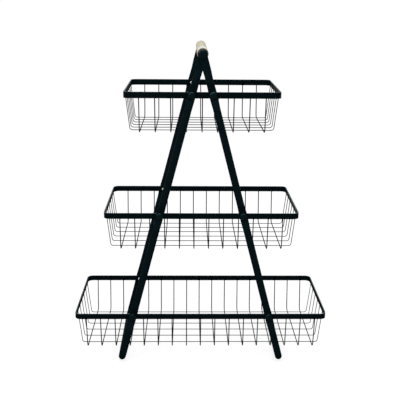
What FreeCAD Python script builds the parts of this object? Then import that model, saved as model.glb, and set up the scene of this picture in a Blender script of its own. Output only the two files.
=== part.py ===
import FreeCAD, Part
import math
import os
import Sketcher

# A three-tier wire basket stand. The frame is two U-shaped tubes that lean on each other
# under a wooden handle. Millimetres, +Z up. The origin is on the floor under the handle,
# +X runs along the baskets and the front is at -Y.

tiers = {"top": 1, "middle": 0, "bottom": 1}  # 1 with a cross wire in the middle, 0 with a gap there
wireSides = 6  # small round pieces have a few flat sides each
shankSides = 6
headSides = 16
nutSides = 6

# name, value, meaning
sizes = [
    ("handleHeight", 734, "floor to the axis of the wooden handle"),
    ("handleDiameter", 25, "wooden dowel"),
    ("handleBevel", 2, "bevel round the dowel's ends"),
    ("legLean", 14.7, "degrees between a leg and upright"),
    ("tubeDiameter", 16, "frame tube"),
    ("footBend", 25, "centre-line radius of a foot's bend"),
    ("tongueThickness", 2.4, "tube end pressed flat, both walls together"),
    ("tongueReach", 34, "handle axis to the end of the flat, along the leg"),
    ("taperLength", 24, "flat tongue to round tube, along the leg"),
    ("rimDepth", 250, "front to back, over the strip"),
    ("rimHeight", 12, "width of the strip"),
    ("rimThickness", 2, "strip"),
    ("rimCorner", 14, "outer radius of a rim's corner"),
    ("topLength", 350, "top rim, end to end"),
    ("middleLength", 450, "middle rim, end to end"),
    ("bottomLength", 600, "bottom rim, end to end"),
    ("topRimBelow", 84, "handle axis down to the top rim's upper edge"),
    ("floorClearance", 14.5, "floor bars up to the bottom basket"),
    ("middleRimRatio", 0.4744, "middle rim between the bottom rim and the top one"),
    ("topBoltRatio", 0.672, "top bolts from the middle, in pitches of the cross wires"),
    ("middleBoltRatio", 2.82, "middle bolts from the middle, in pitches of the cross wires"),
    ("bottomBoltRatio", 4.74, "bottom bolts from the middle, in pitches of the cross wires"),
    ("endMargin", 20, "rim's end to the first cross wire, at least"),
    ("longCount", 6, "long wires in each basket"),
    ("longMargin", 37, "rim's front to the first long wire"),
    ("wireDiameter", 1.8, "basket wire"),
    ("wireInset", 1.5, "rim's upper edge down to a wire's end"),
    ("basketDrop", 92.5, "rim's upper edge to the underside of the floor"),
    ("wallFlare", 11, "how far a front or rear wall leans out"),
    ("endFlare", 9, "how far an end wall leans out"),
    ("boltDiameter", 6, "basket bolts and handle screws"),
    ("screwHead", 22, "round head of a handle screw"),
    ("screwCrown", 11, "flat on its dome"),
    ("screwLength", 45, "handle screw under its head"),
    ("boltCap", 18, "round cap of a basket bolt"),
    ("capCrown", 9, "flat on its dome"),
    ("capBite", 2.5, "bolt inside its cap"),
    ("headEdge", 1.8, "height of a head's or a cap's edge"),
    ("headDome", 2.8, "height of its dome on the edge"),
    ("pressThickness", 4, "leg pressed flat from outside at a bolt"),
    ("pressMargin", 2, "pressed flat beyond a bolt's cap"),
    ("pressTaper", 16, "pressed flat to round tube, along the leg"),
    ("nutWall", 2, "bolt to a nut's flats"),
    ("nutHeight", 5, "weld nut inside a rim"),
    ("boltPast", 2, "bolt past its nut"),
    ("holeClearance", 0.2, "around a bolt, on the radius"),
    ("seatGap", 0.1, "between pieces that rest on each other"),
]

# name, formula, meaning
places = [
    ("legY", "Sizes.rimDepth / 2 + Sizes.seatGap + Sizes.tubeDiameter / 2", "leg axis"),
    ("legFoot", "(Sizes.tubeDiameter / 2 - Sizes.handleHeight) / cos(Sizes.legLean)",
     "floor bar axis, along the leg"),
    ("tubeRadius", "Sizes.tubeDiameter / 2", "frame tube"),
    ("tubeOuterY", "legY + tubeRadius", "outside of a leg"),
    ("tubeInnerY", "legY - tubeRadius", "inside of a leg"),
    ("clearOuterY", "tubeOuterY + tubeRadius", "well outside a leg"),
    ("clearInnerY", "tubeInnerY - tubeRadius", "well inside a leg"),
    ("clearTop", "2 * tubeRadius", "well above a tongue"),
    ("clearWidth", "2 * Sizes.tubeDiameter", "well past a leg's sides"),
    ("clearDepth", "4 * tubeOuterY", "well past the front and the rear"),
    ("tongueEnd", "-Sizes.tongueReach", "where the flat ends"),
    ("taperEnd", "-Sizes.tongueReach - Sizes.taperLength", "where the round tube starts"),
    ("lapOuterY", "legY + Sizes.seatGap / 2", "where the outer tongue lies on the inner one"),
    ("lapInnerY", "legY - Sizes.seatGap / 2", "where the inner tongue lies under the outer one"),
    ("tongueOuterY", "lapOuterY + Sizes.tongueThickness", "outside of the outer tongue"),
    ("tongueInnerY", "lapInnerY - Sizes.tongueThickness", "inside of the inner tongue"),
    ("outerMiddleY", "(lapOuterY + tongueOuterY) / 2", "middle of the outer tongue"),
    ("innerMiddleY", "(lapInnerY + tongueInnerY) / 2", "middle of the inner tongue"),
    ("handleEnd", "tongueInnerY - Sizes.seatGap", "end of the dowel"),
    ("handleFlat", "handleEnd - Sizes.handleBevel", "where the dowel's bevel starts"),
    ("handleRadius", "Sizes.handleDiameter / 2", "dowel"),
    ("handleFace", "handleRadius - Sizes.handleBevel", "flat end of the dowel"),
    ("screwSeat", "tongueOuterY + Sizes.seatGap", "under a handle screw's head"),
    ("pilotDepth", "handleEnd - screwSeat + Sizes.screwLength + Sizes.seatGap", "hole in the dowel"),
    ("holeCircle", f"(Sizes.boltDiameter + 2 * Sizes.holeClearance) / cos({180 / shankSides})",
     "across the corners of a bolt hole"),
    ("headTop", "Sizes.headEdge + Sizes.headDome", "height of a head or a cap"),
    ("pressY", "tubeInnerY + Sizes.pressThickness", "pressed face of a leg"),
    ("pressHalf", "Sizes.boltCap / 2 + Sizes.pressMargin", "bolt to the end of its flat"),
    ("pressReach", "pressHalf + Sizes.pressTaper", "bolt to the round tube"),
    ("boltSeat", "pressY + Sizes.seatGap", "under a bolt's cap"),
    ("capHole", "Sizes.capBite + Sizes.seatGap", "depth of a cap's hole"),
    ("nutSeat", "Sizes.rimDepth / 2 - Sizes.rimThickness - Sizes.seatGap", "under a nut"),
    ("boltGrip", "boltSeat - nutSeat + Sizes.nutHeight", "cap to the end of the nut"),
    ("boltLength", "Sizes.capBite + boltGrip + Sizes.boltPast", "whole bolt"),
    ("nutWidth", "Sizes.boltDiameter + 2 * Sizes.nutWall", "across a nut's flats"),
    ("nutCircle", f"nutWidth / cos({180 / nutSides})", "across a nut's corners"),
    ("nutBore", "Sizes.nutHeight + Sizes.seatGap", "hole through a nut"),
    ("rimHalfDepth", "Sizes.rimDepth / 2", "outside of the strip"),
    ("rimInnerDepth", "rimHalfDepth - Sizes.rimThickness", "inside of the strip"),
    ("rimInnerCorner", "Sizes.rimCorner - Sizes.rimThickness", "inside of a corner"),
    ("rimMiddle", "Sizes.rimHeight / 2", "bolt holes in the strip"),
    ("topRimZ", "Sizes.handleHeight - Sizes.topRimBelow", "top rim's upper edge"),
    ("bottomRimZ", "Sizes.tubeDiameter + Sizes.floorClearance + Sizes.basketDrop",
     "bottom rim's upper edge"),
    ("middleRimZ", "bottomRimZ + Sizes.middleRimRatio * (topRimZ - bottomRimZ)", "middle rim's upper edge"),
    ("wireCircle", f"Sizes.wireDiameter / cos({180 / wireSides})", "across a wire's corners"),
    ("wireTop", "-Sizes.wireInset", "end of a wire, under the rim's upper edge"),
    ("wireKnee", "-Sizes.rimHeight", "where a wall starts to lean in"),
    ("crossTopY", "rimInnerDepth - Sizes.seatGap - Sizes.wireDiameter / 2", "wire beside the strip"),
    ("crossFloorY", "crossTopY - Sizes.wallFlare", "wire's bend at the floor"),
    ("crossFloorZ", "Sizes.wireDiameter / 2 - Sizes.basketDrop", "cross wires on the floor"),
    ("longFloorZ", "crossFloorZ + Sizes.wireDiameter + Sizes.seatGap", "long wires on the floor"),
    ("longFirstY", "Sizes.longMargin - rimHalfDepth", "first long wire"),
    ("longSpan", "-2 * longFirstY", "first long wire to the last"),
]
for tier, middleWire in tiers.items():
    places += [
        (f"{tier}Half", f"Sizes.{tier}Length / 2", "outside of the strip"),
        (f"{tier}Inner", f"{tier}Half - Sizes.rimThickness", "inside of the strip"),
        (f"{tier}LongTopX", f"{tier}Inner - Sizes.seatGap - Sizes.wireDiameter / 2", "wire's end"),
        (f"{tier}LongFloorX", f"{tier}LongTopX - Sizes.endFlare", "wire's bend at the floor"),
        (f"{tier}Drop", f"Sizes.handleHeight - {tier}RimZ + rimMiddle", "handle to bolts"),
        (f"{tier}BoltX", f"{tier}Drop * tan(Sizes.legLean)", "bolt beside the middle"),
        (f"{tier}BoltSpan", f"2 * {tier}BoltX", "bolt to bolt"),
        (f"{tier}BoltZ", f"Sizes.handleHeight - {tier}Drop", "bolt above the floor"),
        (f"{tier}HoleZ", f"-{tier}Drop / cos(Sizes.legLean)", "bolt hole, along the leg"),
        (f"{tier}FlatTop", f"{tier}HoleZ + pressHalf", "upper end of a pressed flat"),
        (f"{tier}FlatFoot", f"{tier}HoleZ - pressHalf", "lower end of a pressed flat"),
        (f"{tier}PressTop", f"{tier}HoleZ + pressReach", "round tube above a pressed flat"),
        (f"{tier}PressFoot", f"{tier}HoleZ - pressReach", "round tube below a pressed flat"),
        (f"{tier}RimFoot", f"{tier}RimZ - Sizes.rimHeight", "rim's lower edge"),
        (f"{tier}Pitch", f"{tier}BoltX / Sizes.{tier}BoltRatio", "cross wires, clear of the nuts"),
        (f"{tier}Bays", f"({tier}Half - Sizes.endMargin) / {tier}Pitch", "room from the middle, in pitches"),
        (f"{tier}Count", f"2 * floor({tier}Bays + {(1 - middleWire) / 2}) + {middleWire}", "cross wires"),
        (f"{tier}Span", f"({tier}Count - 1) * {tier}Pitch", "first cross wire to the last"),
        (f"{tier}FirstX", f"-{tier}Span / 2", "first cross wire"),
    ]

doc = FreeCAD.newDocument("TieredWireBasket")
cells = {}
parts = []


def fill_sheet(name, rows, prefix=""):
    sheet = doc.addObject("Spreadsheet::Sheet", name)
    for row, (alias, content, meaning) in enumerate(rows, start=1):
        sheet.set(f"A{row}", alias)
        sheet.set(f"B{row}", f"{prefix}{content}")
        sheet.set(f"C{row}", meaning)
        sheet.setAlias(f"B{row}", alias)
        cells[alias] = sheet
    doc.recompute()


def number(term):
    alias = term.lstrip("-")
    value = float(cells[alias].get(alias))
    return -value if term.startswith("-") else value


def formula(term):
    alias = term.lstrip("-")
    sign = "-" if term.startswith("-") else ""
    return f"{sign}{cells[alias].Name}.{alias}"


def bind(thing, path, term):
    thing.setExpression(path, formula(term))


def new_body(label):
    body = doc.addObject("PartDesign::Body", label)
    body.Label = label
    parts.append(body)
    return body


def origin_feature(body, role):
    return next(feature for feature in body.Origin.OriginFeatures if feature.Role == role)


def place(body, x=None, y=None, z=None):
    for axis, term in (("x", x), ("y", y), ("z", z)):
        if term:
            bind(body, f"Placement.Base.{axis}", term)


def turn(body, axis, angle):
    body.Placement = FreeCAD.Placement(FreeCAD.Vector(), FreeCAD.Rotation(FreeCAD.Vector(*axis), angle))


def new_sketch(body, role, *lifts):
    # lifts are added up; they move the sketch along its normal
    sketch = body.newObject("Sketcher::SketchObject", f"{body.Label}_sketch")
    sketch.AttachmentSupport = [(origin_feature(body, role), "")]
    sketch.MapMode = "FlatFace"
    if lifts:
        sketch.setExpression("AttachmentOffset.Base.z", " + ".join(formula(lift) for lift in lifts))
    return sketch


def pin(sketch, geometry, spot, across, up):
    # ties a point of the sketch to two cells; "0" puts it on an axis
    for kind, term, axis in (("DistanceX", across, -2), ("DistanceY", up, -1)):
        if term == "0":
            sketch.addConstraint(Sketcher.Constraint("PointOnObject", geometry, spot, axis))
            continue
        rule = Sketcher.Constraint(kind, -1, 1, geometry, spot, number(term))
        name_rule(sketch, sketch.addConstraint(rule), term)


def name_rule(sketch, index, term):
    name = f"rule{index}"
    sketch.renameConstraint(index, name)
    bind(sketch, f"Constraints.{name}", term)


def draw(sketch, corners, closed=True, rounds=None):
    # straight lines between corners given as pairs of cell names, with some corners rounded
    first = sketch.GeometryCount
    points = [FreeCAD.Vector(known(across), known(up), 0) for across, up in corners]
    for start, end in zip(points, points[1:] + points[:1] if closed else points[1:]):
        sketch.addGeometry(Part.LineSegment(start, end), False)
    lines = sketch.GeometryCount - first
    for line in range(lines if closed else lines - 1):
        following = first + (line + 1) % lines
        sketch.addConstraint(Sketcher.Constraint("Coincident", first + line, 2, following, 1))
    for index, (across, up) in enumerate(corners):
        line, spot = (index, 1) if index < lines else (lines - 1, 2)
        pin(sketch, first + line, spot, across, up)
    for index, radius in (rounds or {}).items():
        arc = sketch.GeometryCount
        sketch.fillet(first + index, 1, number(radius), True, True)
        rule = Sketcher.Constraint("Radius", arc, number(radius))
        name_rule(sketch, sketch.addConstraint(rule), radius)


def known(term):
    return 0 if term == "0" else number(term)


def draw_circle(sketch, across, up, diameter):
    centre = FreeCAD.Vector(known(across), known(up), 0)
    circle = Part.Circle(centre, FreeCAD.Vector(0, 0, 1), number(diameter) / 2)
    index = sketch.addGeometry(circle, False)
    pin(sketch, index, 3, across, up)
    rule = Sketcher.Constraint("Diameter", index, number(diameter))
    name_rule(sketch, sketch.addConstraint(rule), diameter)
    return index


def draw_polygon(sketch, across, up, diameter, sides, level=True):
    # regular polygon whose corners lie on a circle, with one side level or upright
    ring = draw_circle(sketch, across, up, diameter)
    sketch.setConstruction(ring, True)
    centre = FreeCAD.Vector(known(across), known(up), 0)
    first = sketch.GeometryCount
    corners = []
    for side in range(sides + 1):
        angle = 2 * math.pi * (side - 0.5) / sides - (math.pi / 2 if level else 0)
        corners.append(centre + FreeCAD.Vector(math.cos(angle), math.sin(angle), 0) * number(diameter) / 2)
    for start, end in zip(corners, corners[1:]):
        sketch.addGeometry(Part.LineSegment(start, end), False)
    for side in range(sides):
        following = first + (side + 1) % sides
        sketch.addConstraint(Sketcher.Constraint("Coincident", first + side, 2, following, 1))
        sketch.addConstraint(Sketcher.Constraint("PointOnObject", first + side, 2, ring))
    for side in range(1, sides):
        sketch.addConstraint(Sketcher.Constraint("Equal", first, first + side))
    sketch.addConstraint(Sketcher.Constraint("Horizontal" if level else "Vertical", first))


def draw_tongue(sketch):
    # straight sides down to the end of the flat, and a half-round end about the handle's axis
    right = [("tubeRadius", "0"), ("tubeRadius", "tongueEnd")]
    draw(sketch, right + [(f"-{across}", up) for across, up in reversed(right)], closed=False)
    last = sketch.GeometryCount - 1
    ring = Part.Circle(FreeCAD.Vector(), FreeCAD.Vector(0, 0, 1), number("tubeRadius"))
    arc = sketch.addGeometry(Part.ArcOfCircle(ring, 0, math.pi), False)
    sketch.addConstraint(Sketcher.Constraint("Coincident", arc, 1, 0, 1))
    sketch.addConstraint(Sketcher.Constraint("Coincident", arc, 2, last, 2))
    sketch.addConstraint(Sketcher.Constraint("PointOnObject", arc, 3, -1))


def pad(body, sketch, height, symmetric=False, reverse=False):
    feature = body.newObject("PartDesign::Pad", f"{body.Label}_pad")
    feature.Profile = sketch
    feature.SideType = "Symmetric" if symmetric else "One side"
    feature.Reversed = reverse
    bind(feature, "Length", height)
    return feature


def pocket(body, sketch, depth, symmetric=False, reverse=False):
    feature = body.newObject("PartDesign::Pocket", f"{body.Label}_cut")
    feature.Profile = sketch
    feature.SideType = "Symmetric" if symmetric else "One side"
    feature.Reversed = reverse
    bind(feature, "Length", depth)
    return feature


def revolve(body, sketch):
    feature = body.newObject("PartDesign::Revolution", f"{body.Label}_turned")
    feature.Profile = sketch
    feature.ReferenceAxis = (sketch, ["H_Axis"])
    feature.Angle = 360
    return feature


def sweep(body, profile, path, corner="Transformed"):
    doc.recompute()
    feature = body.newObject("PartDesign::AdditivePipe", f"{body.Label}_sweep")
    feature.Profile = profile
    feature.Spine = (path, [f"Edge{edge}" for edge in range(1, len(path.Shape.Edges) + 1)])
    feature.Transition = corner
    return feature


def loft(body, profile, section):
    feature = body.newObject("PartDesign::AdditiveLoft", f"{body.Label}_loft")
    feature.Profile = profile
    feature.Sections = [section]
    feature.Ruled = True
    return feature


def repeat(body, features, axis, count, span):
    pattern = body.newObject("PartDesign::LinearPattern", f"{body.Label}_pattern")
    pattern.Originals = features
    pattern.Direction = (origin_feature(body, axis), [""])
    bind(pattern, "Length", span)
    if isinstance(count, str):
        bind(pattern, "Occurrences", count)
    else:
        pattern.Occurrences = count
    body.Tip = pattern


def mirror(body, features):
    # repeats front features at the rear
    pattern = body.newObject("PartDesign::Mirrored", f"{body.Label}_mirror")
    pattern.Originals = features
    pattern.MirrorPlane = (origin_feature(body, "XZ_Plane"), [""])
    body.Tip = pattern


def polygon_at(body, centre, diameter, sides, *lifts):
    sketch = new_sketch(body, "XZ_Plane", *lifts)
    draw_polygon(sketch, *centre, diameter, sides)
    return sketch


def make_frame(label, lean_axis, tongue_y, outer_face, inner_face):
    # one tube: front leg, floor bar and rear leg, drawn upright under the handle's axis and then leaned
    body = new_body(label)
    path = new_sketch(body, "YZ_Plane")
    route = [("legY", "tongueEnd"), ("legY", "legFoot"), ("-legY", "legFoot"), ("-legY", "tongueEnd")]
    feet = [index for index, (_, along) in enumerate(route) if along == "legFoot"]
    draw(path, route, closed=False, rounds={foot: "footBend" for foot in feet})
    section = new_sketch(body, "XY_Plane", "tongueEnd")
    draw_circle(section, "0", "legY", "tubeDiameter")
    sweep(body, section, path)

    cuts = []
    outer_side = (outer_face, "tubeOuterY", "clearOuterY")
    inner_side = (inner_face, "tubeInnerY", "clearInnerY")
    for face, tube, clear in (outer_side, inner_side):
        wedge = [(face, "clearTop"), (face, "tongueEnd"), (tube, "taperEnd")]
        cuts.append(wedge + [(clear, "taperEnd"), (clear, "clearTop")])
    for tier in tiers:
        upper = [("pressY", f"{tier}FlatTop")]
        upper += [(across, f"{tier}PressTop") for across in ("tubeOuterY", "clearOuterY")]
        lower = [(across, up.replace("Top", "Foot")) for across, up in reversed(upper)]
        cuts.append(upper + lower)
    flats = new_sketch(body, "YZ_Plane")
    for cut in cuts:
        draw(flats, cut)
        draw(flats, [(f"-{across}", up) for across, up in cut])
    pocket(body, flats, "clearWidth", symmetric=True)

    blade = new_sketch(body, "XZ_Plane", tongue_y)
    draw_tongue(blade)
    mirror(body, [pad(body, blade, "tongueThickness", symmetric=True)])

    holes = new_sketch(body, "XZ_Plane")
    for along in ["0"] + [f"{tier}HoleZ" for tier in tiers]:
        draw_polygon(holes, "0", along, "holeCircle", shankSides)
    pocket(body, holes, "clearDepth", symmetric=True)
    turn(body, lean_axis, number("legLean"))
    bind(body, "Placement.Rotation.Angle", "legLean")
    place(body, z="handleHeight")


def make_handle():
    body = new_body("handle")
    outline = new_sketch(body, "YZ_Plane")
    end = [("handleFlat", "handleRadius"), ("handleEnd", "handleFace"), ("handleEnd", "0")]
    draw(outline, [(f"-{along}", across) for along, across in reversed(end)] + end)
    revolve(body, outline)
    pilot = polygon_at(body, ("0", "0"), "holeCircle", shankSides, "handleEnd")
    mirror(body, [pocket(body, pilot, "pilotDepth")])
    place(body, z="handleHeight")


def domed(body, centre, seat, diameter, crown):
    # a round edge and a dome, in front of the seat
    edge = pad(body, polygon_at(body, centre, diameter, headSides, seat), "headEdge")
    dome = loft(
        body,
        polygon_at(body, centre, diameter, headSides, seat, "headEdge"),
        polygon_at(body, centre, crown, headSides, seat, "headTop"),
    )
    return [edge, dome]


def make_handle_screws():
    body = new_body("handle_screws")
    centre = ("0", "0")
    head = domed(body, centre, "screwSeat", "screwHead", "screwCrown")
    shank = polygon_at(body, centre, "boltDiameter", shankSides, "screwSeat")
    mirror(body, head + [pad(body, shank, "screwLength", reverse=True)])
    place(body, z="handleHeight")


def make_fasteners(face, angle):
    # capped bolts from outside and weld nuts inside, a pair in each tier: drawn for the front
    # and turned round for the rear
    caps, bolts, nuts = (new_body(f"{face}_{kind}") for kind in ("caps", "bolts", "nuts"))
    for tier in tiers:
        centre = (f"-{tier}BoltX", f"{tier}BoltZ")
        cap = domed(caps, centre, "boltSeat", "boltCap", "capCrown")
        hole = polygon_at(caps, centre, "holeCircle", shankSides, "boltSeat")
        cap.append(pocket(caps, hole, "capHole", reverse=True))
        shank = polygon_at(bolts, centre, "boltDiameter", shankSides, "boltSeat", "capBite")
        bolt = [pad(bolts, shank, "boltLength", reverse=True)]
        hexagon = polygon_at(nuts, centre, "nutCircle", nutSides, "nutSeat")
        nut = [pad(nuts, hexagon, "nutHeight", reverse=True)]
        bore = polygon_at(nuts, centre, "holeCircle", shankSides, "nutSeat")
        nut.append(pocket(nuts, bore, "nutBore"))
        for body, features in ((caps, cap), (bolts, bolt), (nuts, nut)):
            repeat(body, features, "X_Axis", 2, f"{tier}BoltSpan")
    for body in (caps, bolts, nuts):
        turn(body, (0, 0, 1), angle)


def make_rim(tier):
    body = new_body(f"{tier}_rim")
    strip = new_sketch(body, "XY_Plane")
    for half, depth, corner in (
        (f"{tier}Half", "rimHalfDepth", "rimCorner"), (f"{tier}Inner", "rimInnerDepth", "rimInnerCorner")
    ):
        corners = [(f"-{half}", f"-{depth}"), (half, f"-{depth}"), (half, depth), (f"-{half}", depth)]
        draw(strip, corners, rounds={index: corner for index in range(4)})
    pad(body, strip, "rimHeight")
    holes = new_sketch(body, "XZ_Plane")
    for across in (f"-{tier}BoltX", f"{tier}BoltX"):
        draw_polygon(holes, across, "rimMiddle", "holeCircle", shankSides)
    pocket(body, holes, "clearDepth", symmetric=True)
    place(body, z=f"{tier}RimFoot")


def make_wires(label, role, axis, path_corners, count, span, first, rim):
    # one bent wire, from the rim down across the floor and up again, repeated along the axis
    body = new_body(label)
    path = new_sketch(body, role)
    route = path_corners + [(f"-{across}", up) for across, up in reversed(path_corners)]
    draw(path, route, closed=False)
    section = new_sketch(body, "XY_Plane", "wireTop")
    top = path_corners[0][0]
    along_x = role == "XZ_Plane"
    centre = (top, "0") if along_x else ("0", top)
    draw_polygon(section, *centre, "wireCircle", wireSides, level=not along_x)
    wire = sweep(body, section, path, corner="Right corner")
    repeat(body, [wire], axis, count, span)
    place(body, **{axis[0].lower(): first}, z=rim)


def make_basket(tier):
    make_rim(tier)
    rim = f"{tier}RimZ"
    across = [("crossTopY", "wireTop"), ("crossTopY", "wireKnee"), ("crossFloorY", "crossFloorZ")]
    make_wires(f"{tier}_cross_wires", "YZ_Plane", "X_Axis", across,
               f"{tier}Count", f"{tier}Span", f"{tier}FirstX", rim)
    top = f"{tier}LongTopX"
    along = [(top, "wireTop"), (top, "wireKnee"), (f"{tier}LongFloorX", "longFloorZ")]
    make_wires(f"{tier}_long_wires", "XZ_Plane", "Y_Axis", along,
               "longCount", "longSpan", "longFirstY", rim)


def check_and_write():
    doc.recompute()
    for thing in doc.Objects:
        if "Invalid" in thing.State or "Error" in thing.State:
            raise RuntimeError(f"{thing.Label} failed: {thing.State}")
    for body in parts:
        if body.Shape.isNull() or not body.Shape.isValid():
            raise RuntimeError(f"{body.Label} has no valid shape")
    os.makedirs("parts", exist_ok=True)
    for body in parts:
        body.Shape.exportStep(f"parts/{body.Label}.step")
        print(f"{body.Label}: {len(body.Shape.Solids)} solids, {body.Shape.Volume:.1f} mm3")


fill_sheet("Sizes", sizes)
fill_sheet("Places", places, prefix="=")

make_frame("left_frame", (0, 1, 0), "innerMiddleY", "lapInnerY", "tongueInnerY")
make_frame("right_frame", (0, -1, 0), "outerMiddleY", "tongueOuterY", "lapOuterY")
make_handle()
make_handle_screws()
for tier in tiers:
    make_basket(tier)
make_fasteners("front", 0)
make_fasteners("rear", 180)
check_and_write()
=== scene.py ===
import math

import bmesh
import bpy
from mathutils import Matrix, Vector


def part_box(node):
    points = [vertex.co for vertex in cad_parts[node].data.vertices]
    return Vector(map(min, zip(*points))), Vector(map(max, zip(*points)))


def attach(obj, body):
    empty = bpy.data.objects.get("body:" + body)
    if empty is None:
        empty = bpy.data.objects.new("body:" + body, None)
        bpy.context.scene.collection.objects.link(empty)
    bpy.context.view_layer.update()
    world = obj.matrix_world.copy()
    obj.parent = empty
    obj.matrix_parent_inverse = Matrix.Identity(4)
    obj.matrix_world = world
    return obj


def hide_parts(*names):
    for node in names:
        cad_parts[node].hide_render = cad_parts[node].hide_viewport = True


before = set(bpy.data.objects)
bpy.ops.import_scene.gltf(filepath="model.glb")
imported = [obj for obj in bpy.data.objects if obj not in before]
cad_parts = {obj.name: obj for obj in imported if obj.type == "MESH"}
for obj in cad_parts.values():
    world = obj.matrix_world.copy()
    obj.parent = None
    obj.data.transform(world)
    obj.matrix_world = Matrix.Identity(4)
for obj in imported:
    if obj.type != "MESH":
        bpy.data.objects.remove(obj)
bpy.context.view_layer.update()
scene = bpy.context.scene
mm = 0.001
tiers = ("top", "middle", "bottom")
noiseMiddle = 0.5  # what a noise swings about
mergeDistance = 0.001 * mm  # points of a CAD mesh that are nearer than this are one
sortDigits = 6  # solids are put in order by their places to a micrometre
fullSize = (1.0, 1.0)  # least and most scale of copies that don't vary
upwardFaces = {"attribute": "upperEdge", "from": 0.3, "to": 0.8}  # faces of a strip that look up


class Term:
    # a socket that can stand in sums
    def __init__(self, net, socket):
        self.net = net
        self.socket = socket

    def apply(self, operation, *others):
        return self.net.maths(operation, self, *others)

    def __add__(self, other):
        return self.apply("ADD", other)

    def __radd__(self, other):
        return self.net.maths("ADD", other, self)

    def __sub__(self, other):
        return self.apply("SUBTRACT", other)

    def __rsub__(self, other):
        return self.net.maths("SUBTRACT", other, self)

    def __mul__(self, other):
        return self.apply("MULTIPLY", other)

    def __rmul__(self, other):
        return self.net.maths("MULTIPLY", other, self)

    def __truediv__(self, other):
        return self.apply("DIVIDE", other)

    def __rtruediv__(self, other):
        return self.net.maths("DIVIDE", other, self)

    def __pow__(self, other):
        return self.apply("POWER", other)

    def between(self, low, high):
        return self.apply("MINIMUM", high).apply("MAXIMUM", low)

    def steps(self, start, end):
        # 0 at start to 1 at end, eased
        sockets = {"Value": self, "From Min": start, "From Max": end}
        return self.net.add("ShaderNodeMapRange", sockets, interpolation_type="SMOOTHSTEP")

    def pick(self, name):
        # another output of the same node
        return Term(self.net, self.socket.node.outputs[name])


class Net:
    # builds a node tree, for a material or for geometry
    def __init__(self, tree):
        self.tree = tree
        tree.nodes.clear()

    def add(self, kind, sockets=None, out=0, **settings):
        node = self.tree.nodes.new(kind)
        for name, value in settings.items():
            setattr(node, name, value)
        for key, value in (sockets or {}).items():
            if isinstance(value, Term):
                self.tree.links.new(value.socket, node.inputs[key])
            else:
                node.inputs[key].default_value = value
        return Term(self, node.outputs[out]) if node.outputs else node

    def maths(self, operation, *terms):
        return self.add("ShaderNodeMath", dict(enumerate(terms)), operation=operation)

    def parts(self, vector):
        # a split vector, with X, Y and Z to pick
        return self.add("ShaderNodeSeparateXYZ", {0: vector})

    def blend(self, amount, first, second):
        sockets = {0: amount, 6: first, 7: second}  # the Mix node's colour sockets
        return self.add("ShaderNodeMix", sockets, out=2, data_type="RGBA")

    def noise(self, place, scale, detail=2.0, roughness=0.5):
        sockets = {"Vector": place, "Scale": scale, "Detail": detail, "Roughness": roughness}
        return self.add("ShaderNodeTexNoise", sockets)

    def bump(self, strength, depth, height):
        sockets = {"Strength": strength, "Distance": depth, "Height": height}
        return self.add("ShaderNodeBump", sockets)

    def chance(self, least, most, seed):
        sockets = {2: least, 3: most, "Seed": seed}  # the Random Value node's sockets for plain numbers
        return self.add("FunctionNodeRandomValue", sockets, out=1)


# geometry trees

def geometryTree(name, inputs):
    tree = bpy.data.node_groups.new(name, "GeometryNodeTree")
    tree.interface.new_socket("Geometry", in_out="INPUT", socket_type="NodeSocketGeometry")
    for label, kind in inputs.items():
        tree.interface.new_socket(label, in_out="INPUT", socket_type=f"NodeSocket{kind}")
    tree.interface.new_socket("Geometry", in_out="OUTPUT", socket_type="NodeSocketGeometry")
    net = Net(tree)
    return net, net.add("NodeGroupInput")


def closeTree(net, given, shape):
    solid = net.add("GeometryNodeRealizeInstances", {"Geometry": shape})
    sockets = {"Geometry": solid, "Material": given.pick("Material")}
    net.add("NodeGroupOutput", {"Geometry": net.add("GeometryNodeSetMaterial", sockets)})
    return net.tree


def roundSweep(net, line, radius, sides):
    sockets = {"Resolution": sides, "Radius": radius}
    profile = net.add("GeometryNodeCurvePrimitiveCircle", sockets, mode="RADIUS")
    curve = net.add("GeometryNodeMeshToCurve", {"Mesh": line})
    return net.add("GeometryNodeCurveToMesh", {"Curve": curve, "Profile Curve": profile, "Fill Caps": True})


def wireTree():
    # one bent wire, repeated in even steps with a little play
    net, given = geometryTree("repeatedWires", {
        "Radius": "Float", "Sides": "Int", "Count": "Int", "Start": "Vector", "Step": "Vector",
        "Play": "Float", "Seed": "Int", "Material": "Material",
    })
    step, play = given.pick("Step"), given.pick("Play")
    wire = roundSweep(net, given, given.pick("Radius"), given.pick("Sides"))
    line = net.add("GeometryNodeMeshLine", {
        "Count": given.pick("Count"), "Start Location": given.pick("Start"), "Offset": step,
    }, mode="OFFSET")
    stray = net.chance(play * -1, play, given.pick("Seed"))
    shift = net.add("ShaderNodeVectorMath", {0: step, "Scale": stray}, operation="SCALE")
    line = net.add("GeometryNodeSetPosition", {"Geometry": line, "Offset": shift})
    copies = net.add("GeometryNodeInstanceOnPoints", {"Points": line, "Instance": wire})
    return closeTree(net, given, copies)


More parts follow.
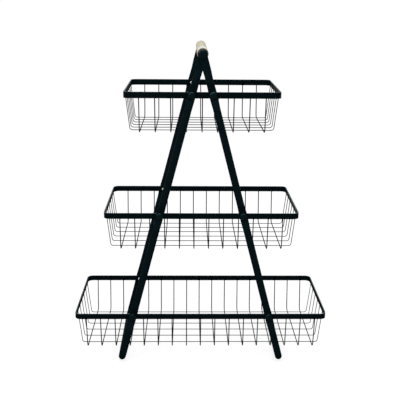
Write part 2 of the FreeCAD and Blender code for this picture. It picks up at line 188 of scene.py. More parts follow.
def stripTree():
    # a flat strip with eased edges along a closed path; its upward faces are marked for their gloss
    net, given = geometryTree("bentStrip", {
        "Thickness": "Float", "Height": "Float", "Ease": "Float", "Ease Steps": "Int",
        "Material": "Material",
    })
    profile = net.add("GeometryNodeCurvePrimitiveQuadrilateral", {
        "Width": given.pick("Thickness"), "Height": given.pick("Height"),
    }, mode="RECTANGLE")
    profile = net.add("GeometryNodeFilletCurve", {
        "Curve": profile, "Radius": given.pick("Ease"), "Count": given.pick("Ease Steps"),
        "Limit Radius": True,
    }, mode="POLY")
    curve = net.add("GeometryNodeMeshToCurve", {"Mesh": given})
    curve = net.add("GeometryNodeSetCurveNormal", {"Curve": curve}, mode="Z_UP")
    strip = net.add("GeometryNodeCurveToMesh", {"Curve": curve, "Profile Curve": profile})
    facing = net.parts(net.add("GeometryNodeInputNormal")).pick("Z")
    strip = net.add("GeometryNodeStoreNamedAttribute", {
        "Geometry": strip, "Name": upwardFaces["attribute"],
        "Value": facing.steps(upwardFaces["from"], upwardFaces["to"]),
    }, data_type="FLOAT", domain="FACE")
    return closeTree(net, given, strip)


def tubeTree():
    # a round tube drawn upright, pressed flat at its upper ends and at its bolts, and then leaned
    net, given = geometryTree("pressedTube", {
        "Radius": "Float", "Sides": "Int", "Leg Y": "Float", "Leg From": "Float",
        "Tongue Y": "Float", "Tongue Half": "Float", "Tongue From": "Float", "Tongue Taper": "Float",
        "Press Y": "Float", "Press Half": "Float", "Press Reach": "Float", "Press Taper": "Float",
        "Bolts": "Vector", "Widen": "Float", "Square": "Float", "Lean": "Vector", "Lift": "Vector",
        "Material": "Material",
    })
    radius, legY = given.pick("Radius"), given.pick("Leg Y")
    tube = roundSweep(net, given, radius, given.pick("Sides"))
    spot = net.parts(net.add("GeometryNodeInputPosition"))
    x, y, z = spot.pick("X"), spot.pick("Y"), spot.pick("Z")
    # how far a point belongs to a tongue or to a pressed seat, 0 to 1
    tongueFrom = given.pick("Tongue From")
    tongue = z.steps(tongueFrom - given.pick("Tongue Taper"), tongueFrom)
    bolts = net.parts(given.pick("Bolts"))  # the heights of the three bolts
    reach = given.pick("Press Reach")
    press = 0.0
    for axis in "XYZ":
        away = (z - bolts.pick(axis)).apply("ABSOLUTE")
        press = press + (1 - away.steps(reach, reach + given.pick("Press Taper")))
    flat = tongue + press
    # the depth of the wall there, squarer where it is pressed
    fromAxis = y.apply("ABSOLUTE") - legY
    share = (fromAxis.apply("ABSOLUTE") / radius).between(0, 1)
    tongueHalf, pressHalf = given.pick("Tongue Half"), given.pick("Press Half")
    tongueY, pressY = given.pick("Tongue Y"), given.pick("Press Y")
    half = radius + (tongueHalf - radius) * tongue + (pressHalf - radius) * press
    centre = legY + (tongueY - legY) * tongue + (pressY - legY) * press
    depth = centre + fromAxis.apply("SIGN") * half * share ** (1 - given.pick("Square") * flat)
    # the width, rounded off at the tongue's end
    wide = radius * (1 + given.pick("Widen") * flat)
    above = (z.apply("MAXIMUM", 0) / wide).between(0, 1)
    width = x / radius * wide * (1 - above * above).apply("SQRT")
    target = net.add("ShaderNodeCombineXYZ", {0: width, 1: y.apply("SIGN") * depth, 2: z})
    chosen = net.add("FunctionNodeCompare", {0: z, 1: given.pick("Leg From")}, operation="GREATER_THAN")
    tube = net.add("GeometryNodeSetPosition", {"Geometry": tube, "Selection": chosen, "Position": target})
    tube = net.add("GeometryNodeTransform", {
        "Geometry": tube, "Translation": given.pick("Lift"), "Rotation": given.pick("Lean"),
    })
    return closeTree(net, given, tube)


def scatterTree():
    # copies of a shape on the base's points, each twisted about its own axis by chance
    net, given = geometryTree("placedShapes", {
        "Shape": "Object", "Turn": "Float", "Twist": "Float", "Least": "Float", "Most": "Float",
        "Seed": "Int", "Material": "Material",
    })
    shape = net.add("GeometryNodeObjectInfo", {"Object": given.pick("Shape")}, out="Geometry")
    seed, twist = given.pick("Seed"), given.pick("Twist")
    angle = net.chance(twist * -1, twist, seed)
    scale = net.chance(given.pick("Least"), given.pick("Most"), seed + 1)
    rotation = net.add("ShaderNodeCombineXYZ", {1: angle, 2: given.pick("Turn")})
    return closeTree(net, given, net.add("GeometryNodeInstanceOnPoints", {
        "Points": given, "Instance": shape, "Rotation": rotation, "Scale": scale,
    }))


# meshes

def lineMesh(name, points, closed=False):
    starts = range(len(points) if closed else len(points) - 1)
    mesh = bpy.data.meshes.new(name)
    mesh.from_pydata(points, [(at, (at + 1) % len(points)) for at in starts], [])
    return mesh


def pointMesh(name, points):
    mesh = bpy.data.meshes.new(name)
    mesh.from_pydata(points, [], [])
    return mesh


def builtMesh(name, build):
    mesh = bpy.data.meshes.new(name)
    build.to_mesh(mesh)
    build.free()
    return mesh


def roundedPath(corners, radius, steps, closed=False):
    # points of a path through the corners, each turn drawn as an arc
    points = []
    corners = [Vector(corner) for corner in corners]
    for at, corner in enumerate(corners):
        if not closed and at in (0, len(corners) - 1):
            points.append(corner)
            continue
        back = (corners[at - 1] - corner).normalized()
        ahead = (corners[(at + 1) % len(corners)] - corner).normalized()
        half = back.angle(ahead) / 2
        centre = corner + (back + ahead).normalized() * radius / math.sin(half)
        start = (corner + back * radius / math.tan(half) - centre).normalized()
        end = (corner + ahead * radius / math.tan(half) - centre).normalized()
        points += [centre + start.slerp(end, step / steps) * radius for step in range(steps + 1)]
    return points


def joinRings(build, rings):
    # faces between each ring of points and the next; a ring may be one point, repeated
    for inner, outer in zip(rings, rings[1:]):
        for side in range(len(inner)):
            after = (side + 1) % len(inner)
            corners = [inner[side], inner[after], outer[after], outer[side]]
            build.faces.new(list(dict.fromkeys(corners)))


def turnedMesh(name, outline, sides):
    # a profile of (distance from the axis, distance along it) pairs, turned about -Y
    build = bmesh.new()
    angles = [2 * math.pi * side / sides for side in range(sides)]
    rings = []
    for away, along in outline:
        if away == 0:
            rings.append([build.verts.new((0, -along, 0))] * sides)
            continue
        rings.append([build.verts.new((away * math.cos(a), -along, away * math.sin(a))) for a in angles])
    joinRings(build, rings)
    bmesh.ops.recalc_face_normals(build, faces=build.faces)
    return builtMesh(name, build)


def shadeSmooth(mesh, sharp):
    # smooth shading; edges steeper than sharp, in degrees, stay sharp
    mesh.polygons.foreach_set("use_smooth", [True] * len(mesh.polygons))
    mesh.set_sharp_from_angle(angle=math.radians(sharp))
    mesh.update()


def grown(name, base, tree, values, sharp):
    # runs a tree on a base mesh and keeps what it makes as a plain mesh
    piece = bpy.data.objects.new(name, base)
    scene.collection.objects.link(piece)
    modifier = piece.modifiers.new(name, "NODES")
    modifier.node_group = tree
    for socket in tree.interface.items_tree:
        if socket.in_out == "INPUT" and socket.name in values:
            modifier[socket.identifier] = values[socket.name]
    piece.update_tag()
    graph = bpy.context.evaluated_depsgraph_get()
    mesh = bpy.data.meshes.new_from_object(piece.evaluated_get(graph))
    piece.modifiers.clear()
    piece.data = mesh
    mesh.name = name
    bpy.data.meshes.remove(base)
    shadeSmooth(mesh, sharp)
    return piece


def dress(piece, slot, *nodes):
    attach(piece, "root")
    if nodes:
        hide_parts(*nodes)


def setOut(name, slot, nodes, shape, spots, settings, material, turn=0.0, number=0):
    # copies of a shape on spots, turned about the upright; number sets their random draws apart
    least, most = settings.get("sizes", fullSize)
    made = grown(name, pointMesh("spots", spots), scatter, {
        "Shape": shape, "Turn": turn, "Twist": settings["twist"], "Least": least, "Most": most,
        "Seed": settings["seed"] + number, "Material": material,
    }, settings["sharp"])
    dress(made, slot, *nodes)


def solids(node):
    # corners of the box of each solid in a CAD node
    build = bmesh.new()
    build.from_mesh(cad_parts[node].data)
    bmesh.ops.remove_doubles(build, verts=build.verts, dist=mergeDistance)
    left = set(build.verts)
    boxes = []
    while left:
        found, waiting = set(), [left.pop()]
        while waiting:
            vert = waiting.pop()
            found.add(vert)
            near = {other for link in vert.link_edges for other in link.verts} & left
            left -= near
            waiting += near
        places = [vert.co for vert in found]
        low = Vector([min(place[axis] for place in places) for axis in range(3)])
        high = Vector([max(place[axis] for place in places) for axis in range(3)])
        boxes.append((low, high))
    build.free()
    return sorted(boxes, key=lambda box: tuple(round(value, sortDigits) for value in box[0]))


# materials

def surface(name):
    material = bpy.data.materials.new(name)
    material.use_nodes = True
    net = Net(material.node_tree)
    return material, net, net.add("ShaderNodeTexCoord", out="Object")


def closeSurface(net, sockets):
    shader = net.add("ShaderNodeBsdfPrincipled", sockets)
    net.add("ShaderNodeOutputMaterial", {"Surface": shader})


def powderCoat(name, look):
    # black coat with fine orange peel, a little dust and uneven gloss; a look may have a glossier upper edge
    material, net, place = surface(name)
    broad = net.noise(place, **look["broad"])
    fine = net.noise(place, **look["fine"])
    peel = net.noise(place, **look["peel"])
    dust = net.noise(place, **look["dust"]).steps(look["dustFrom"], look["dustTo"])
    colour = net.blend(broad, (*look["dark"], 1), (*look["pale"], 1))
    colour = net.blend(dust * look["dustAmount"], colour, (*look["dustColour"], 1))
    gloss = look["roughness"] + (broad - noiseMiddle) * look["glossSpread"]
    gloss = gloss + (fine - noiseMiddle) * look["glossGrain"]
    sockets = {
        "Base Color": colour, "Roughness": gloss,
        "Normal": net.bump(look["peelStrength"], look["peelDepth"], peel),
        "Specular IOR Level": look["specular"], "Specular Tint": (*look["sheen"], 1),
    }
    if "edgeGloss" in look:
        upward = net.add("ShaderNodeAttribute", out="Fac", attribute_name=upwardFaces["attribute"])
        sockets["Coat Weight"] = upward * look["edgeGloss"]
        sockets["Coat Roughness"] = look["edgeRoughness"]
        sockets["Coat IOR"] = look["edgeIor"]
    closeSurface(net, sockets)
    return material


coatLook = {
    "broad": {"scale": 35, "detail": 3}, "fine": {"scale": 900}, "peel": {"scale": 1700, "roughness": 0.6},
    "dust": {"scale": 160, "detail": 4, "roughness": 0.7}, "dustFrom": 0.62, "dustTo": 0.8,
    "dustAmount": 0.25, "dustColour": (0.016, 0.024, 0.027), "roughness": 0.46, "glossSpread": 0.14,
    "glossGrain": 0.1, "sheen": (0.4, 0.85, 1), "peelStrength": 0.35, "peelDepth": 0.08 * mm,
}
frameLook = dict(
    coatLook, dark=(0.0013, 0.0046, 0.0063), pale=(0.0024, 0.0068, 0.009), specular=0.05, roughness=0.6,
)
basketLook = dict(
    coatLook, dark=(0.0007, 0.0026, 0.0036), pale=(0.0014, 0.004, 0.0055), specular=0.13,
    broad={"scale": 50, "detail": 3},
)
rimLook = dict(basketLook, edgeGloss=1.0, edgeRoughness=0.15, edgeIor=1.8)
headLook = dict(
    basketLook, roughness=0.33, specular=0.62, peelStrength=0.2, broad={"scale": 90, "detail": 3},
    dustAmount=0.15,
)


def paleWood(look, reach):
    # growth rings about a far pith, fine pores along the dowel, a glossy front end, and dark brown ends that
    # are partly real end grain and partly painted shade; reach is how far the dowel goes from the middle
    material, net, place = surface("paleWood")
    spot = net.add("ShaderNodeMapping", {
        "Vector": place, "Location": look["pith"], "Scale": (1, look["stretch"], 1),
    })
    wander = net.noise(spot, **look["wander"])
    parts = net.parts(spot)
    x, z = parts.pick("X"), parts.pick("Z")
    turns = (x * x + z * z).apply("SQRT") / look["ringPitch"] + wander * look["wanderAmount"]
    ring = turns.apply("PINGPONG", 1)
    late = ring.steps(look["lateFrom"], look["lateTo"])
    grain = net.add("ShaderNodeMapping", {"Vector": place, "Scale": (1, look["poreStretch"], 1)})
    pores = net.noise(grain, **look["pores"])
    pore = pores.steps(look["poreFrom"], look["poreTo"])
    cloud = net.noise(place, **look["cloud"])
    colour = net.blend(late * look["ringAmount"], (*look["earlyColour"], 1), (*look["lateColour"], 1))
    colour = net.blend((cloud * look["cloudAmount"]).between(0, 1), colour, (*look["cloudColour"], 1))
    colour = net.blend(pore * look["poreAmount"], colour, (*look["poreColour"], 1))
    along = net.parts(place).pick("Y")
    fromEnd = reach - along.apply("ABSOLUTE")
    # the last millimetre or so at each end is painted dark brown: partly end grain, partly painted shade on
    # the less lit end faces
    endGrainShade = fromEnd.steps(look["endFrom"], look["endTo"])
    colour = net.blend(endGrainShade, colour, (*look["endGrainShadeColour"], 1))
    lacquer = (reach + along).steps(look["lacquerFrom"], look["lacquerTo"]) * look["lacquer"]
    height = look["poreHeight"] * pores + look["ringHeight"] * ring
    closeSurface(net, {
        "Base Color": colour, "Roughness": look["roughness"] + look["poreRoughness"] * pore,
        "Normal": net.bump(look["bump"], look["bumpDepth"], height), "Specular IOR Level": look["specular"],
        "Coat Weight": lacquer, "Coat Roughness": look["lacquerRoughness"],
    })
    return material


woodLook = {
    "earlyColour": (0.63, 0.575, 0.43), "lateColour": (0.56, 0.49, 0.335), "lateFrom": 0.35, "lateTo": 0.95,
    "pith": (30 * mm, 0, 22 * mm), "stretch": 0.05, "ringPitch": 2.2 * mm, "ringAmount": 0.55,
    "ringHeight": 0.4, "wander": {"scale": 60, "detail": 3}, "wanderAmount": 0.8,
    "pores": {"scale": 1500, "roughness": 0.6}, "poreStretch": 0.03, "poreFrom": 0.6, "poreTo": 0.75,
    "poreAmount": 0.35, "poreColour": (0.44, 0.36, 0.25), "poreRoughness": 0.12, "poreHeight": 0.6,
    "cloud": {"scale": 18}, "cloudAmount": 0.35, "cloudColour": (0.61, 0.52, 0.38),
    # the ends' dark brown is partly real end grain and partly painted shade
    "endFrom": 1.35 * mm, "endTo": 0.5 * mm, "endGrainShadeColour": (0.22, 0.14, 0.07),
    "lacquer": 0.75, "lacquerFrom": 70 * mm, "lacquerTo": 58 * mm, "lacquerRoughness": 0.06,
    "roughness": 0.55, "specular": 0.1, "bump": 0.25, "bumpDepth": 0.1 * mm,
}


def brightZinc(look):
    # plated steel with a fine mottle
    material, net, place = surface("brightZinc")
    mottle = net.noise(place, **look["mottle"])
    grain = net.noise(place, **look["grain"])
    closeSurface(net, {
        "Base Color": net.blend(mottle, (*look["dark"], 1), (*look["pale"], 1)),
        "Metallic": look["metallic"], "Roughness": look["roughness"] + look["mottleRoughness"] * mottle,
        "Normal": net.bump(look["bump"], look["bumpDepth"], grain),
    })
    return material


zincLook = {
    "dark": (0.58, 0.63, 0.645), "pale": (0.8, 0.87, 0.885), "mottle": {"scale": 300, "detail": 3},
    "grain": {"scale": 2500}, "roughness": 0.3, "mottleRoughness": 0.15, "metallic": 0.4, "bump": 0.15,
    "bumpDepth": 0.05 * mm,
}

frameCoat = powderCoat("frameCoat", frameLook)
basketCoat = powderCoat("basketCoat", basketLook)
stripCoat = powderCoat("stripCoat", rimLook)
headCoat = powderCoat("headCoat", headLook)
zinc = brightZinc(zincLook)
wires, strips, tubes, scatter = wireTree(), stripTree(), tubeTree(), scatterTree()
print("materials and trees ready")

# frame: two bent tubes, pressed flat at the rims' bolts and at their upper ends, which lap under the
# handle's screws

# foot is the height of the floor bar's axis, and lean and endAngle are in degrees; widen and square make
# the tube wider and boxier where it is pressed
tubeSettings = {
    "radius": 8.3 * mm, "legY": 133.4 * mm, "foot": 8.3 * mm, "lean": 14.7, "bend": 25 * mm, "bendSteps": 12,
    "sides": 40, "tongueHalf": 1.2 * mm, "tongueReach": 34 * mm, "taper": 26 * mm, "taperSteps": 14,
    "flatSteps": 4, "endSteps": 8, "endAngle": 84, "pressY": 127.1 * mm, "pressHalf": 2 * mm,
    "pressReach": 7 * mm, "pressTaper": 26 * mm, "pressSteps": 13, "widen": 0.1, "square": 0.68, "sharp": 50,
    "tongueY": {"left": 131.85 * mm, "right": 134.35 * mm},
}


def evenSteps(start, end, steps):
    return [start + (end - start) * step / steps for step in range(steps + 1)]


def tubePath(settings, bolts, foot):
    # one leg from its rounded tongue down to the floor, the floor bar and the other leg up again;
    # heights are measured along the leg from the handle's screws
    wide = settings["radius"] * (1 + settings["widen"])
    angles = evenSteps(settings["endAngle"], 0, settings["endSteps"])
    heights = [wide * math.sin(math.radians(angle)) for angle in angles]
    flatEnd = -settings["tongueReach"]
    heights += evenSteps(0, flatEnd, settings["flatSteps"])[1:]
    heights += evenSteps(flatEnd, flatEnd - settings["taper"], settings["taperSteps"])[1:]
    span = settings["pressReach"] + settings["pressTaper"]
    for bolt in bolts:
        upper = evenSteps(bolt + span, bolt + settings["pressReach"], settings["pressSteps"])
        heights += upper + [bolt] + [2 * bolt - height for height in reversed(upper)]
    legY = settings["legY"]
    corners = [(0, legY, heights[-1]), (0, legY, foot), (0, -legY, foot), (0, -legY, heights[-1])]
    rear = [Vector((0, legY, height)) for height in heights[:-1]]
    bends = roundedPath(corners, settings["bend"], settings["bendSteps"])
    front = [Vector((0, -legY, height)) for height in reversed(heights[:-1])]
    return rear + bends + front


def frameTube(side, turn, settings, bolts, foot):
    line = lineMesh("tubePath", tubePath(settings, bolts, foot))
    tube = grown(f"{side}Tube", line, tubes, {
        "Radius": settings["radius"], "Sides": settings["sides"], "Leg Y": settings["legY"],
        "Leg From": foot + settings["bend"], "Tongue Y": settings["tongueY"][side],
        "Tongue Half": settings["tongueHalf"], "Tongue From": -settings["tongueReach"],
        "Tongue Taper": settings["taper"], "Press Y": settings["pressY"],
        "Press Half": settings["pressHalf"], "Press Reach": settings["pressReach"],
        "Press Taper": settings["pressTaper"], "Bolts": Vector(bolts), "Widen": settings["widen"],
        "Square": settings["square"], "Lean": Vector((0, turn * math.radians(settings["lean"]), 0)),
        "Lift": Vector((0, 0, handleZ)), "Material": frameCoat,
    }, settings["sharp"])
    dress(tube, "frame_paint", f"{side}_frame")


handleLow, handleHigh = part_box("handle")
handleZ = (handleLow.z + handleHigh.z) / 2
alongLeg = math.cos(math.radians(tubeSettings["lean"]))  # rise per length of leg
rimMiddles = [(low.z + high.z) / 2 for low, high in (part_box(f"{tier}_rim") for tier in tiers)]
boltHeights = [(middle - handleZ) / alongLeg for middle in rimMiddles]
footHeight = (tubeSettings["foot"] - handleZ) / alongLeg
frameTube("left", 1, tubeSettings, boltHeights, footHeight)
frameTube("right", -1, tubeSettings, boltHeights, footHeight)
print("tubes ready")

# handle: a turned dowel with eased ends

dowelSettings = {"ease": 1.8 * mm, "easeSteps": 6, "sides": 64, "rings": 24, "sharp": 50}


def dowelOutline(settings):
    radius, end = (handleHigh.x - handleLow.x) / 2, handleHigh.y
    ease, rings = settings["ease"], settings["rings"]
    corner = []
    for angle in evenSteps(0, math.pi / 2, settings["easeSteps"]):
        corner.append((radius - ease + ease * math.sin(angle), end - ease + ease * math.cos(angle)))
    body = [(radius, (end - ease) * (1 - 2 * step / rings)) for step in range(1, rings)]
    return [(0, end)] + corner + body + [(away, -along) for away, along in reversed(corner)] + [(0, -end)]


dowelMesh = turnedMesh("dowel", dowelOutline(dowelSettings), dowelSettings["sides"])
dowelMesh.transform(Matrix.Translation((0, 0, handleZ)))
dowelMesh.materials.append(paleWood(woodLook, handleHigh.y))
shadeSmooth(dowelMesh, dowelSettings["sharp"])
dowel = bpy.data.objects.new("dowel", dowelMesh)
scene.collection.objects.link(dowel)
dress(dowel, "handle_wood", "handle")
print("handle ready")

# baskets: a strip rim, U-shaped cross wires, long wires on them and weld spots

rimSettings = {
    "thickness": 2 * mm, "edge": 0.25 * mm, "edgeSteps": 3, "corner": 14 * mm, "cornerSteps": 10, "sharp": 40,
    "coat": {"top": 1.1 * mm, "middle": 0.9 * mm, "bottom": 0.75 * mm},  # added to each edge's height
}


def rimPath(low, high, settings):
    inset = settings["thickness"] / 2
    z = (low.z + high.z) / 2
    right, rear = high.x - inset, high.y - inset
    corners = [(-right, -rear, z), (right, -rear, z), (right, rear, z), (-right, rear, z)]
    return roundedPath(corners, settings["corner"] - inset, settings["cornerSteps"], closed=True)


def basketRim(tier, low, high, settings):
    line = lineMesh("rimPath", rimPath(low, high, settings), closed=True)
    rim = grown(f"{tier}Rim", line, strips, {
        "Thickness": settings["thickness"], "Height": high.z - low.z + 2 * settings["coat"][tier],
        "Ease": settings["edge"], "Ease Steps": settings["edgeSteps"], "Material": stripCoat,
    }, settings["sharp"])
    dress(rim, "basket_paint", f"{tier}_rim")


# radius is the solid wire's and seen the one to show; axis is the one a wire runs along, 0 for X and 1 for Y
wireSettings = {"radius": 0.9 * mm, "sides": 10, "bendSteps": 8, "play": 0.008, "sharp": 60}
crossSettings = dict(wireSettings, axis=1, seen=1.18 * mm, flare=11 * mm, bend=12 * mm, seed=10)
longSettings = dict(wireSettings, axis=0, seen=0.85 * mm, flare=9 * mm, bend=6 * mm, seed=20)


def wirePath(low, high, knee, settings):
    # a U from one side of the rim to the other, straight down to the knee and then inwards
    radius, axis = settings["radius"], settings["axis"]
    reach, base = high[axis] - radius, low.z + radius
    arm = [(reach, high.z), (reach, knee), (reach - settings["flare"], base)]
    corners = []
    for along, up in arm + [(-along, up) for along, up in reversed(arm)]:
        corner = Vector((0, 0, up))
        corner[axis] = along
        corners.append(corner)
    return roundedPath(corners, settings["bend"], settings["bendSteps"])


def basketWires(name, node, knee, settings, number):
    # the wires repeat along the other axis; their places there are given back for the welds
    low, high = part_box(node)
    other = 1 - settings["axis"]
    places = sorted((start[other] + end[other]) / 2 for start, end in solids(node))
    first, step = Vector(), Vector()
    first[other] = places[0]
    step[other] = (places[-1] - places[0]) / (len(places) - 1)
    line = lineMesh("wirePath", wirePath(low, high, knee, settings))
    made = grown(name, line, wires, {
        "Radius": settings["seen"], "Sides": settings["sides"], "Count": len(places), "Start": first,
        "Step": step, "Play": settings["play"], "Seed": settings["seed"] + number, "Material": basketCoat,
    }, settings["sharp"])
    dress(made, "basket_paint", node)
    return places


weldSettings = {
    "radius": 1.15 * mm, "squash": 0.8, "sides": 8, "rings": 5, "sizes": (0.8, 1.15), "twist": 3.0,
    "seed": 30, "sharp": 80,
}


def weldOutline(settings):
    # half of a squashed ball, from pole to pole
    radius, height = settings["radius"], settings["radius"] * settings["squash"]
    angles = evenSteps(0, math.pi, settings["rings"])[1:-1]
    return [(0, height)] + [(radius * math.sin(a), height * math.cos(a)) for a in angles] + [(0, -height)]


def weldSpots(tier, rimZ, acrossX, alongY):
    # where the wires cross each other, and where they meet the rim
    crossLow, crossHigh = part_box(f"{tier}_cross_wires")
    longLow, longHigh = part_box(f"{tier}_long_wires")
    meeting = (crossLow.z + longLow.z) / 2 + wireSettings["radius"]
    spots = [(x, y, meeting) for x in acrossX for y in alongY]
    spots += [(x, turn * crossHigh.y, rimZ) for x in acrossX for turn in (-1, 1)]
    return spots + [(turn * longHigh.x, y, rimZ) for y in alongY for turn in (-1, 1)]


weldMesh = turnedMesh("weldShape", weldOutline(weldSettings), weldSettings["sides"])
weldMesh.transform(Matrix.Rotation(math.pi / 2, 4, "X"))  # poles up and down
weldShape = bpy.data.objects.new("weldShape", weldMesh)
for number, tier in enumerate(tiers):
    low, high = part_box(f"{tier}_rim")
    basketRim(tier, low, high, rimSettings)
    acrossX = basketWires(f"{tier}CrossWires", f"{tier}_cross_wires", low.z, crossSettings, number)
    alongY = basketWires(f"{tier}LongWires", f"{tier}_long_wires", low.z, longSettings, number)
    spots = weldSpots(tier, (low.z + high.z) / 2, acrossX, alongY)
    setOut(f"{tier}Welds", "basket_paint", (), weldShape, spots, weldSettings, basketCoat, number=number)
    print(f"{tier} basket ready")

# fasteners: handle screws, capped bolts with bright ends, and weld nuts

headSettings = {
    "back": 0.3 * mm, "edge": 1.5 * mm, "height": 4.6 * mm, "domeSteps": 12, "fullness": 0.8, "sides": 48,
    "twist": 3.0, "sharp": 40,
}
capSettings = dict(headSettings, seed=41)
screwSettings = dict(headSettings, seed=49)


def ends(node, atFront):
    # the middle of each solid's front or rear end
    places = []
    for low, high in solids(node):
        places.append(((low.x + high.x) / 2, low.y if atFront else high.y, (low.z + high.z) / 2))
    return places


def headOutline(radius, settings):
    # back face, straight edge and low dome
    back, edge, steps = settings["back"], settings["edge"], settings["domeSteps"]
    rise = settings["height"] - edge
    outline = [(0, 0), (radius - back, 0), (radius, back), (radius, edge)]
    for angle in evenSteps(0, math.pi / 2, steps)[1:-1]:
        outline.append((radius * math.cos(angle) ** settings["fullness"], edge + rise * math.sin(angle)))
    return outline + [(0, settings["height"])]


def headShape(name, node, settings):
    low, high = solids(node)[0]
    outline = headOutline((high.x - low.x) / 2, settings)
    return bpy.data.objects.new(name, turnedMesh(name, outline, settings["sides"]))


boltSettings = {
    "radius": 3 * mm, "pitch": 1 * mm, "groove": 0.45 * mm, "threads": 9, "lead": 0.5 * mm, "sides": 24,
    "twist": 3.0, "seed": 43, "sharp": 40,
}


def boltOutline(settings, length):
    # plain shank, thread ridges and a bevelled end at zero
    radius, pitch, groove = settings["radius"], settings["pitch"], settings["groove"]
    threadStart = -settings["lead"] - settings["threads"] * pitch
    outline = [(0, -length), (radius, -length), (radius, threadStart)]
    for thread in range(settings["threads"]):
        foot = threadStart + thread * pitch
        outline += [(radius - groove, foot + pitch / 2), (radius, foot + pitch)]
    return outline + [(radius - settings["lead"], 0), (0, 0)]


nutSettings = {
    "width": 10 * mm, "height": 5 * mm, "bevel": 0.7 * mm, "mouth": 3.4 * mm, "faceShare": 0.98, "sides": 36,
    "twist": 0.5, "seed": 47, "sharp": 35,
}


def nutMesh(settings):
    # hexagon with a round bevelled face and mouth, pointing along -Y
    sides, flat = settings["sides"], settings["width"] / 2
    halfSide = math.pi / 6  # half of a hexagon's side, as an angle
    corner = flat / math.cos(halfSide)
    build = bmesh.new()

    def ring(limit, along):
        made = []
        for side in range(sides):
            angle = 2 * math.pi * side / sides
            fromFlat = (angle + halfSide) % (2 * halfSide) - halfSide
            away = min(flat / math.cos(fromFlat), limit)
            made.append(build.verts.new((away * math.cos(angle), -along, away * math.sin(angle))))
        return made

    height, bevel, mouth = settings["height"], settings["bevel"], settings["mouth"]
    rings = [ring(mouth, 0), ring(corner, 0), ring(corner, height - bevel)]
    rings += [ring(flat * settings["faceShare"], height), ring(mouth, height)]
    rings += [ring(mouth - bevel, height - bevel)]
    joinRings(build, rings)
    build.faces.new(rings[0])
    build.faces.new(rings[-1])
    bmesh.ops.recalc_face_normals(build, faces=build.faces)
    return builtMesh("nutShape", build)


capShape = headShape("capShape", "front_caps", capSettings)
screwShape = headShape("screwShape", "handle_screws", screwSettings)
boltLow, boltHigh = solids("front_bolts")[0]
boltLine = boltOutline(boltSettings, boltHigh.y - boltLow.y)
boltShape = bpy.data.objects.new("boltShape", turnedMesh("boltShape", boltLine, boltSettings["sides"]))
nutShape = bpy.data.objects.new("nutShape", nutMesh(nutSettings))
for face, outward, inward in (("front", 0.0, math.pi), ("rear", math.pi, 0.0)):
    atFront = face == "front"
    caps, bolts, nuts = f"{face}_caps", f"{face}_bolts", f"{face}_nuts"
    shift = headSettings["height"] if atFront else -headSettings["height"]
    capSpots = [(x, y + shift, z) for x, y, z in ends(caps, atFront)]
    boltSpots, nutSpots = ends(bolts, not atFront), ends(nuts, atFront)
    screws = [end for end in ends("handle_screws", atFront) if (end[1] < 0) == atFront]
    screwSpots = [(x, y + shift, z) for x, y, z in screws]
    setOut(f"{face}Caps", "head_black", [caps], capShape, capSpots, capSettings, headCoat, outward)
    setOut(f"{face}Bolts", "bolt_zinc", [bolts], boltShape, boltSpots, boltSettings, zinc, inward)
    setOut(f"{face}Nuts", "basket_paint", [nuts], nutShape, nutSpots, nutSettings, basketCoat, inward)
    setOut(f"{face}Screw", "head_black", ["handle_screws"], screwShape, screwSpots, screwSettings,
           headCoat, outward)
for shape in (weldShape, capShape, screwShape, boltShape, nutShape):
    shapeMesh = shape.data
    bpy.data.objects.remove(shape)
    bpy.data.meshes.remove(shapeMesh)
print("fasteners ready")

# floor, light and camera

floorSettings = {
    "size": 400, "albedo": 0.8, "glow": 0.825, "shadowShare": 0.3, "glossShare": 0.05, "behindShare": 0.75,
    "behindFrom": 0.25, "behindTo": 1.0,
}


def floorPaint(settings):
    # plain white to the camera, with a faint shadow; in gloss it shows where it lies behind the object
    material, net, place = surface("floorPaint")
    ray = net.add("ShaderNodeLightPath", out="Is Camera Ray")
    glossy = ray.pick("Is Glossy Ray")

    def matt(share):
        albedo = settings["albedo"] * share
        return net.add("ShaderNodeBsdfDiffuse", {"Color": (albedo, albedo, albedo, 1)})

    paint = net.add("ShaderNodeMixShader", {0: ray, 1: matt(1), 2: matt(settings["shadowShare"])})
    paint = net.add("ShaderNodeMixShader", {0: glossy, 1: paint, 2: matt(settings["glossShare"])})
    behind = net.parts(place).pick("Y").steps(settings["behindFrom"], settings["behindTo"])
    mirrored = settings["glossShare"] + (settings["behindShare"] - settings["glossShare"]) * behind
    shown = ray + ray.pick("Is Transmission Ray") + mirrored * glossy
    glow = net.add("ShaderNodeEmission", {"Strength": shown * settings["glow"]})
    net.add("ShaderNodeOutputMaterial", {"Surface": net.add("ShaderNodeAddShader", {0: paint, 1: glow})})
    return material


halfFloor = floorSettings["size"] / 2
floorCorners = [(-halfFloor, -halfFloor, 0), (halfFloor, -halfFloor, 0)]
floorCorners += [(halfFloor, halfFloor, 0), (-halfFloor, halfFloor, 0)]
floorMesh = bpy.data.meshes.new("floor")
floorMesh.from_pydata(floorCorners, [], [(0, 1, 2, 3)])
floorMesh.materials.append(floorPaint(floorSettings))
floor = bpy.data.objects.new("floor", floorMesh)
scene.collection.objects.link(floor)

skySettings = {
    "soft": 0.75, "gloss": 0.06, "backdrop": 1.0, "backdropFrom": 0.6, "backdropTo": 0.85,
    "tint": (0.84, 0.96, 1),
}


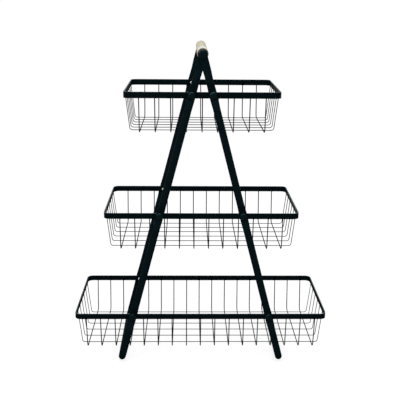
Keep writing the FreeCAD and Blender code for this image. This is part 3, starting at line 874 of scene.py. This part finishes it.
def studioSky(settings):
    # white to the camera and soft for light; in gloss a dim room with a white backdrop
    world = bpy.data.worlds.new("studio")
    world.use_nodes = True
    net = Net(world.node_tree)
    ray = net.add("ShaderNodeLightPath", out="Is Camera Ray")
    glossy, clear = ray.pick("Is Glossy Ray"), ray + ray.pick("Is Transmission Ray")
    deep = net.parts(net.add("ShaderNodeTexCoord", out="Generated")).pick("Y")
    backdrop = deep.steps(settings["backdropFrom"], settings["backdropTo"])
    mirrored = settings["gloss"] + (settings["backdrop"] - settings["gloss"]) * backdrop
    strength = settings["soft"] + (mirrored - settings["soft"]) * glossy
    strength = strength + (1 - strength) * clear
    tint = net.blend(glossy, (1, 1, 1, 1), (*settings["tint"], 1))
    sky = net.add("ShaderNodeBackground", {"Color": tint, "Strength": strength})
    net.add("ShaderNodeOutputWorld", {"Surface": sky})
    return world


scene.world = studioSky(skySettings)

lampSettings = [
    {"name": "frontTop", "place": (0, -1.15, 2.2), "target": (0, 0, 0.4), "size": 1.4, "power": 14},
    {"name": "frontLeft", "place": (-1.6, -1.8, 1.7), "target": (0, 0, 0.35), "size": 1.0, "power": 10},
]
for lamp in lampSettings:
    light = bpy.data.lights.new(lamp["name"], "AREA")
    light.shape = "DISK"
    light.size = lamp["size"]
    light.energy = lamp["power"]
    holder = bpy.data.objects.new(lamp["name"], light)
    scene.collection.objects.link(holder)
    aim = (Vector(lamp["target"]) - Vector(lamp["place"])).to_track_quat("-Z", "Y")
    holder.matrix_world = Matrix.Translation(lamp["place"]) @ aim.to_matrix().to_4x4()

# focal, imageWidth and axisX, the column of the lens's axis, are in the photograph's pixels
cameraSettings = {
    "place": (-32.47 * mm, -1749.2 * mm, 860.3 * mm), "yaw": -0.01858, "pitch": 0.27286, "roll": 0.00756,
    "focal": 740, "imageWidth": 400, "axisX": 200.68, "sensor": 36, "farthest": 1000,
}


def aimCamera(settings):
    turn = Matrix.Rotation(settings["yaw"], 3, "Z")
    forward = turn @ Vector((0, math.cos(settings["pitch"]), -math.sin(settings["pitch"])))
    right = turn @ Vector((1, 0, 0))
    up = right.cross(forward)
    roll = settings["roll"]
    across = math.cos(roll) * right + math.sin(roll) * up
    upright = -math.sin(roll) * right + math.cos(roll) * up
    columns = Matrix((across, upright, -forward)).transposed().to_4x4()
    return Matrix.Translation(settings["place"]) @ columns


lens = bpy.data.cameras.new("photoView")
imageWidth = cameraSettings["imageWidth"]
lens.sensor_width = cameraSettings["sensor"]
lens.lens = cameraSettings["sensor"] * cameraSettings["focal"] / imageWidth
lens.shift_x = (imageWidth / 2 - cameraSettings["axisX"]) / imageWidth
lens.dof.use_dof = False
lens.clip_end = cameraSettings["farthest"]
camera = bpy.data.objects.new("photoView", lens)
scene.collection.objects.link(camera)
camera.matrix_world = aimCamera(cameraSettings)
scene.camera = camera
scene.view_settings.view_transform = "Standard"
print("stage ready")
